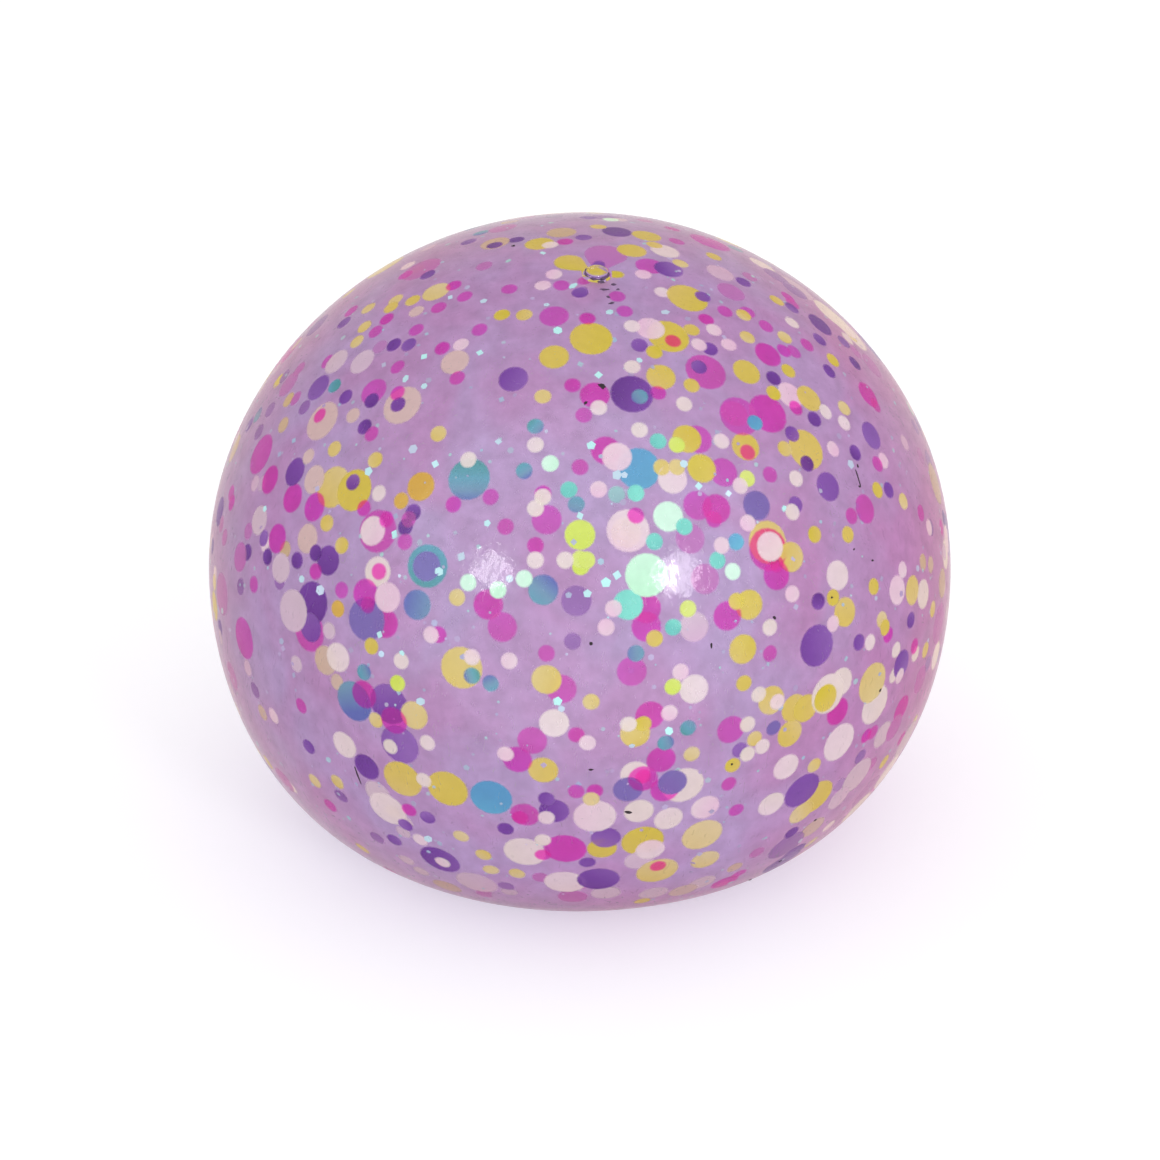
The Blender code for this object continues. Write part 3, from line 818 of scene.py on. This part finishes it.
class SQUEEZEBALL_OT_plug(bpy.types.Operator):
    """Clear plug of the fill port, with grime in the groove round its head"""

    bl_idname = "squeeze_ball.plug"
    bl_label = "Fill plug"

    def execute(self, context):
        ball = context.scene.squeeze_ball
        head = MEASURED["mouth"] - HEAD_GAP
        stem = head - STEM_STEP
        head_floor = BALL_TOP - HEAD_DEPTH
        flange_top = MEASURED["plug_bottom"] + FLANGE_THICKNESS
        section = []
        for step in range(DOME_STEPS + 1):
            angle = QUARTER * step / DOME_STEPS
            drop = DOME_RISE * (1 - math.cos(angle))
            section.append((head * math.sin(angle), MEASURED["plug_top"] - drop))
        section += [(head, head_floor), (stem, head_floor), (stem, flange_top)]
        section += [(MEASURED["flange"], flange_top), (MEASURED["flange"], MEASURED["plug_bottom"])]
        shape = turned(section + [(0.0, MEASURED["plug_bottom"])], PLUG_TURNS)
        for face in shape.faces:
            face.material_index = int(face.calc_center_median().z < BALL_TOP)
        lean_port(ball.sizes, shape)
        piece = add_piece("port_plug", shape, "crown", "plug", clear_rubber(), wetted_rubber())
        piece.data.set_sharp_from_angle(angle=PLUG_CREASE)
        piece.visible_shadow = False
        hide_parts("fill_plug")

        ring = bmesh.new()
        bmesh.ops.create_circle(ring, segments=8, radius=GRIME_RADIUS,
                                matrix=Matrix.Translation((head, 0, GRIME_HEIGHT))
                                @ Matrix.Rotation(QUARTER, 4, "X"))
        spin_round(ring, GRIME_TURNS)
        for vertex in ring.verts:
            groove = Vector((vertex.co.x, vertex.co.y, 0.0)).normalized() * head + UP * GRIME_HEIGHT
            vertex.co = groove + (vertex.co - groove) * (0.9 + 1.1 * noise.noise(groove / (0.5 * MM)))
        lean_port(ball.sizes, ring)
        grime = add_piece("port_grime", ring, "crown", "plug", stuck_dust("groove_grime", ball.colours.grime))
        for soft in (piece, grime):
            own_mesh(soft)
        return {"FINISHED"}


def frame_flakes(sizes):
    """Flakes that the frame holds, as colour, diameter, middle, depth below the skin's outside and name."""
    found = []
    for name in sorted(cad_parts):
        if name.startswith("flake_"):
            low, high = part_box(name)
            middle = (low + high) / 2
            radius = max((vertex.co - middle).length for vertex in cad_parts[name].data.vertices)
            depth = sizes.wall
            while True:
                point = middle + surface_normal(sizes, middle) * depth
                if math.hypot(point.x, point.y) > surface_radius(sizes, point.z):
                    break
                depth += 0.01 * MM
            found.append((SHIMMERING_FLAKES.get(name, name.split("_")[1]), 2 * radius, middle, depth, name))
    return found


def wanted_flakes(sizes, confetti, draw):
    """Flakes beside the frame's, deepest first: colour, diameter, place on the skin, veil, and if on top."""
    wanted = []
    colours, shares = zip(*COLOUR_SHARES.items())
    kinds, kind_shares = zip(*SIZE_SHARES.items())
    counts = {True: 0, False: 0}
    limits = {True: confetti.front_flakes, False: confetti.back_flakes}
    while counts != limits:
        point = scattered_point(sizes, draw)
        colour = draw.choices(colours, shares)[0]
        veil = draw.uniform(*DEEP_SCATTER_VEIL) if draw.random() < DEEP_CHANCE else SCATTER_VEIL
        facing = surface_normal(sizes, point).dot(TOWARDS_EYE)
        in_front = facing > FRONT_FACING
        if facing < SCATTER_FACING and counts[in_front] < limits[in_front]:
            counts[in_front] += 1
            kind = draw.choices(kinds, kind_shares)[0]
            if in_front or colour in ONLY_SMALL:
                kind = "small"
            wanted.append((colour, getattr(confetti, kind), point, veil, False))
    depth = sizes.wall + USUAL_LAYER
    for group in ("lower medium", "large", "medium", "upper large", "upper medium", "small"):
        for veil, chart in ((DEEP_VEIL, VEILED_FLAKES), (FRONT_VEIL, FRONT_FLAKES)):
            on_top = group.startswith("upper") or (chart is FRONT_FLAKES and group == "small")
            diameter = getattr(confetti, group.split()[-1])
            for name, places in chart.items():
                colour, kind = name.split(" ", 1)
                for place in places if kind == group else ():
                    point = seen_point(sizes, place, depth)
                    aside = max(0.0, SIDE_FACING - surface_normal(sizes, point).dot(TOWARDS_EYE))
                    wanted.append((colour, diameter, point, veil + SIDE_VEIL * aside, on_top))
    return wanted


def plan_confetti(sizes, confetti):
    """Every flake as colour, diameter, middle, veil and the frame's node that it stands for."""
    draw = random.Random(confetti.seed)
    first = sizes.wall + FIRST_LAYER
    layers = 1 + int((sizes.gel_depth - first - LAYER_GAP) / confetti.layer_pitch)
    planned = []
    laid = []
    for colour, diameter, middle, depth, node in frame_flakes(sizes):
        planned.append((colour, diameter, middle, FRAME_VEIL + LONE_VEIL.get(colour, 0.0), node))
        laid.append((diameter, middle, round((depth - first) / confetti.layer_pitch)))
    for colour, diameter, point, veil, on_top in wanted_flakes(sizes, confetti, draw):
        normal = surface_normal(sizes, point)
        halfway = point - normal * (first + sizes.gel_depth) / 2
        taken = {layer for other, middle, layer in laid if (halfway - middle).length < (diameter + other) / 2}
        if not taken:
            veil += LONE_VEIL.get(colour, 0.0)
        free = [layer for layer in range(layers) if layer not in taken] or [layers - 1]
        layer = free[0] if on_top else free[-1]
        middle = point - normal * (first + layer * confetti.layer_pitch)
        planned.append((colour, diameter, middle, veil, None))
        laid.append((diameter, middle, layer))
    return planned


def start_discs():
    """Empty shape whose corners hold a tone, how much the cloudy gel veils them and how far the edge is."""
    shape = bmesh.new()
    for name in ("tone", "veil", "edge"):
        shape.verts.layers.float.new(name)
    return shape


def add_disc(shape, middle, facing, diameter, thickness, sides, tone, veil, drift):
    """Adds a thin round disc to a shape, with a tone that drifts from one side of it to the other."""
    place = Matrix.Translation(middle) @ facing.to_track_quat("Z", "Y").to_matrix().to_4x4()
    made = bmesh.ops.create_cone(shape, cap_ends=True, cap_tris=True, segments=sides, radius1=diameter / 2,
                                 radius2=diameter / 2, depth=thickness, matrix=place)
    held = shape.verts.layers.float
    for vertex in made["verts"]:
        offset = vertex.co - middle
        vertex[held["tone"]] = tone + drift.dot(offset) / (diameter / 2)
        vertex[held["veil"]] = veil
        vertex[held["edge"]] = max(0.0, diameter / 2 - offset.length)


def random_way(draw):
    """Random direction, longer or shorter than one."""
    return Vector((draw.gauss(0, 1), draw.gauss(0, 1), draw.gauss(0, 1)))


class SQUEEZEBALL_OT_confetti(bpy.types.Operator):
    """Round confetti flakes, one piece for each colour of film"""

    bl_idname = "squeeze_ball.confetti"
    bl_label = "Confetti"

    def execute(self, context):
        ball = context.scene.squeeze_ball
        confetti = ball.confetti
        draw = random.Random(confetti.seed + 1)
        planned = plan_confetti(ball.sizes, confetti)
        for colour in FILMS:
            shape = start_discs()
            nodes = []
            for flake_colour, diameter, middle, veil, node in planned:
                if flake_colour == colour:
                    lean = random_way(draw) * FLAKE_LEAN * min(1.0, confetti.small / diameter)
                    drift = random_way(draw) * DRIFTS.get(colour, 0.1)
                    # The tone is at random, and raised towards the foot as painted light, which makes most
                    # films paler where shade falls near the floor
                    tone = 0.8 * draw.random() + 0.3 * (1 - middle.z / BALL_TOP)
                    add_disc(shape, middle, surface_normal(ball.sizes, middle) + lean, diameter + SOFT_EDGE,
                             confetti.film, confetti.sides, tone, veil, drift)
                    if node:
                        nodes.append(node)
            slot = SLOTS.get(colour, f"{colour}_film")
            piece = add_piece(f"confetti_{colour}", shape, "ball", slot, punched_film(colour, ball.colours))
            # Light wanders in the cloudy gel, so a flake throws no shadow of its own
            piece.visible_shadow = False
            piece.visible_diffuse = False
            if nodes:
                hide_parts(*nodes)
            flatten_with_squeeze(piece)
        return {"FINISHED"}


class SQUEEZEBALL_OT_glitter(bpy.types.Operator):
    """Fine glitter specks among the flakes"""

    bl_idname = "squeeze_ball.glitter"
    bl_label = "Glitter"

    def execute(self, context):
        ball = context.scene.squeeze_ball
        sizes = ball.sizes
        speck = ball.confetti.speck
        draw = random.Random(ball.confetti.seed + 2)
        shape = start_discs()
        nearest = sizes.wall + SPECK_LAYER
        places = [(seen_point(sizes, place, nearest), True) for place in GLINT_PAINTED_SPECKS]
        places += [(scattered_point(sizes, draw), False) for _ in range(ball.confetti.specks)]
        for point, bright in places:
            normal = surface_normal(sizes, point)
            if bright:
                # A speck that catches the light gets a near-white tone and no veil: a painted glint on
                # glitter whose metallic sheen is real
                depth = sizes.wall + BRIGHT_LAYER
                width = speck * draw.uniform(1.7, 2.8)
                tone = draw.uniform(0.8, 1.0)
                veil = 0.0
            else:
                depth = draw.uniform(nearest, sizes.gel_depth - SPECK_GAP)
                width = speck * draw.choice((0.6, 0.8, 1.0, 1.3, 1.8))
                tone = draw.uniform(0.0, 0.75)
                veil = draw.uniform(0.2, 0.95)
            facing = normal + random_way(draw) * SPECK_LEAN
            add_disc(shape, point - normal * depth, facing, width, ball.confetti.film,
                     draw.choice((4, 5, 6)), tone, veil, Vector())
        piece = add_piece("fine_glitter", shape, "ball", "gel", glitter_film(ball.colours))
        piece.visible_shadow = False
        piece.visible_diffuse = False
        flatten_with_squeeze(piece)
        return {"FINISHED"}


class SQUEEZEBALL_OT_lint(bpy.types.Operator):
    """Specks of dirt and two hairs stuck to the tacky skin"""

    bl_idname = "squeeze_ball.lint"
    bl_label = "Lint"

    def execute(self, context):
        ball = context.scene.squeeze_ball
        shape = bmesh.new()
        for place, length, width, turn in LINT + PORT_DUST:
            point = seen_point(ball.sizes, place, 0.0)
            normal = surface_normal(ball.sizes, point)
            along = EYE_RIGHT * math.cos(math.radians(turn)) + EYE_UP * math.sin(math.radians(turn))
            side = normal.cross(along).normalized()
            axes = Matrix((side.cross(normal), side, normal)).transposed().to_4x4()
            made = bmesh.ops.create_icosphere(shape, subdivisions=2, radius=0.5 * MM)
            for vertex in made["verts"]:
                vertex.co *= 1 + LINT_UNEVENNESS * noise.noise(vertex.co / LINT_GRAIN + point / MM)
            bmesh.ops.transform(shape, verts=made["verts"], matrix=(
                Matrix.Translation(point) @ axes @ Matrix.Diagonal((length, width, LINT_THICKNESS, 1.0))))
        for number, face in enumerate(shape.faces):
            face.smooth = True
            face.material_index = int(number >= len(LINT) * len(shape.faces) // len(LINT + PORT_DUST))
        piece = add_piece("lint_specks", shape, "ball", "skin", stuck_dust("dark_lint", ball.colours.lint),
                          stuck_dust("port_dust", ball.colours.grime))
        flatten_with_squeeze(piece)
        return {"FINISHED"}


class SQUEEZEBALL_OT_stage(bpy.types.Operator):
    """Pale floor, soft lamps, white surroundings and the photograph's camera"""

    bl_idname = "squeeze_ball.stage"
    bl_label = "Stage"

    def execute(self, context):
        sizes = context.scene.squeeze_ball.sizes
        middle = UP * sizes.height
        self.add_floor()
        self.add_camera(context, sizes, middle)
        right = self.lamp_direction(0.25, 0.04)
        left = self.lamp_direction(-0.22, 0.09)
        self.add_softbox("right_softbox", middle, right, 6.5, 7.0, 0.11)
        core = self.add_softbox("right_core", middle, right - EYE_RIGHT * 0.05, 2.6, 4.2, 0.07)
        haze = self.add_softbox("left_softbox", middle, left, 6.0, 5.5, 0.09)
        fill = self.add_softbox("front_fill", middle, Vector((0.0, -1.0, 0.05)), 12.0, 6.0, 0.03)
        # The small lamps only glint on the skin, and the fill only lights
        core.visible_diffuse = False
        haze.visible_diffuse = False
        fill.visible_glossy = False
        self.add_world(context)
        context.scene.view_settings.view_transform = "Standard"
        return {"FINISHED"}

    def add_floor(self):
        shape = bmesh.new()
        bmesh.ops.create_circle(shape, cap_ends=True, segments=64, radius=4.0)
        material, tree, shader, _ = start_material("matt_white_board")
        glow = add_node(tree, "Math", {0: self.add_seen_rays(tree), 1: 0.22}, operation="MULTIPLY")
        set_inputs(tree, shader, {
            "Base Color": linear("#F8F8F8"), "Roughness": 0.9, "Specular IOR Level": 0.0,
            "Emission Color": linear("#FFFFFF"), "Emission Strength": glow})
        floor = add_object("floor", shape, material)

    def add_seen_rays(self, tree):
        """1 for the rays that show the surroundings to the eye, straight, mirrored or through the skin."""
        path = add_node(tree, "LightPath").outputs
        either = add_node(tree, "Math", {
            0: path["Is Camera Ray"], 1: path["Is Glossy Ray"]}, operation="MAXIMUM")
        return add_node(tree, "Math", {0: either, 1: path["Is Transmission Ray"]}, operation="MAXIMUM")

    def add_aimed(self, name, data, place, direction):
        """Puts a camera or a lamp at a place, facing against a direction."""
        item = bpy.data.objects.new(name, data)
        item.location = place
        item.rotation_mode = "QUATERNION"
        item.rotation_quaternion = (-direction).to_track_quat("-Z", "Y")
        bpy.context.scene.collection.objects.link(item)
        return item

    def add_camera(self, context, sizes, middle):
        pixels_per_metre = BALL_PIXELS / sizes.radius
        data = bpy.data.cameras.new("camera")
        data.sensor_width = 36.0
        data.lens = data.sensor_width * pixels_per_metre * EYE_DISTANCE / PHOTO_PIXELS
        data.clip_start = 0.05
        place = middle + TOWARDS_EYE * EYE_DISTANCE - EYE_UP * BALL_ABOVE_MIDDLE_PIXELS / pixels_per_metre
        context.scene.camera = self.add_aimed("camera", data, place, TOWARDS_EYE)

    def lamp_direction(self, aside, lift):
        """Direction of a lamp, twice as far from the eye's axis as its glint, which is aside on the ball."""
        angle = 2 * math.asin(aside)
        return TOWARDS_EYE * math.cos(angle) + EYE_RIGHT * math.sin(angle) + EYE_UP * lift

    def add_softbox(self, name, middle, direction, width_degrees, height_degrees, level):
        """Oval lamp, so many degrees from its middle to its rim, that adds a level of plain light."""
        distance = 1.2
        data = bpy.data.lights.new(name, "AREA")
        data.shape = "ELLIPSE"
        data.size = 2 * distance * math.tan(math.radians(width_degrees))
        data.size_y = 2 * distance * math.tan(math.radians(height_degrees))
        data.energy = level * (math.pi * distance) ** 2
        return self.add_aimed(name, data, middle + direction.normalized() * distance, direction)

    def add_world(self, context):
        world = context.scene.world or bpy.data.worlds.new("white_room")
        context.scene.world = world
        world.use_nodes = True
        tree = world.node_tree
        level = add_node(tree, "MapRange", {"Value": self.add_seen_rays(tree), "To Min": 0.90, "To Max": 1.0})
        set_inputs(tree, tree.nodes["Background"], {"Color": linear("#FFFFFF"), "Strength": level})


class SQUEEZEBALL_PT_panel(bpy.types.Panel):
    """Sizes, colours and pieces of the squeeze ball"""

    bl_idname = "SQUEEZEBALL_PT_panel"
    bl_label = "Squeeze Ball"
    bl_space_type = "VIEW_3D"
    bl_region_type = "UI"
    bl_category = "Squeeze Ball"

    def draw(self, context):
        ball = context.scene.squeeze_ball
        for group in (ball.sizes, ball.confetti, ball.colours):
            box = self.layout.box()
            for name in group.__annotations__:
                box.prop(group, name)
        for operator in OPERATORS:
            self.layout.operator(operator.bl_idname)


OPERATORS = (
    SQUEEZEBALL_OT_skin,
    SQUEEZEBALL_OT_gel,
    SQUEEZEBALL_OT_plug,
    SQUEEZEBALL_OT_confetti,
    SQUEEZEBALL_OT_glitter,
    SQUEEZEBALL_OT_lint,
    SQUEEZEBALL_OT_stage,
)
CLASSES = (BallSizes, ConfettiSizes, BallColours, SqueezeBall, *OPERATORS, SQUEEZEBALL_PT_panel)


def register():
    for item in CLASSES:
        bpy.utils.register_class(item)
    bpy.types.Scene.squeeze_ball = PointerProperty(type=SqueezeBall)


def unregister():
    del bpy.types.Scene.squeeze_ball
    for item in reversed(CLASSES):
        bpy.utils.unregister_class(item)


def main():
    register()
    bpy.ops.squeeze_ball.skin()
    bpy.ops.squeeze_ball.gel()
    bpy.ops.squeeze_ball.plug()
    bpy.ops.squeeze_ball.confetti()
    bpy.ops.squeeze_ball.glitter()
    bpy.ops.squeeze_ball.lint()
    bpy.ops.squeeze_ball.stage()


if __name__ == "__main__":
    main()
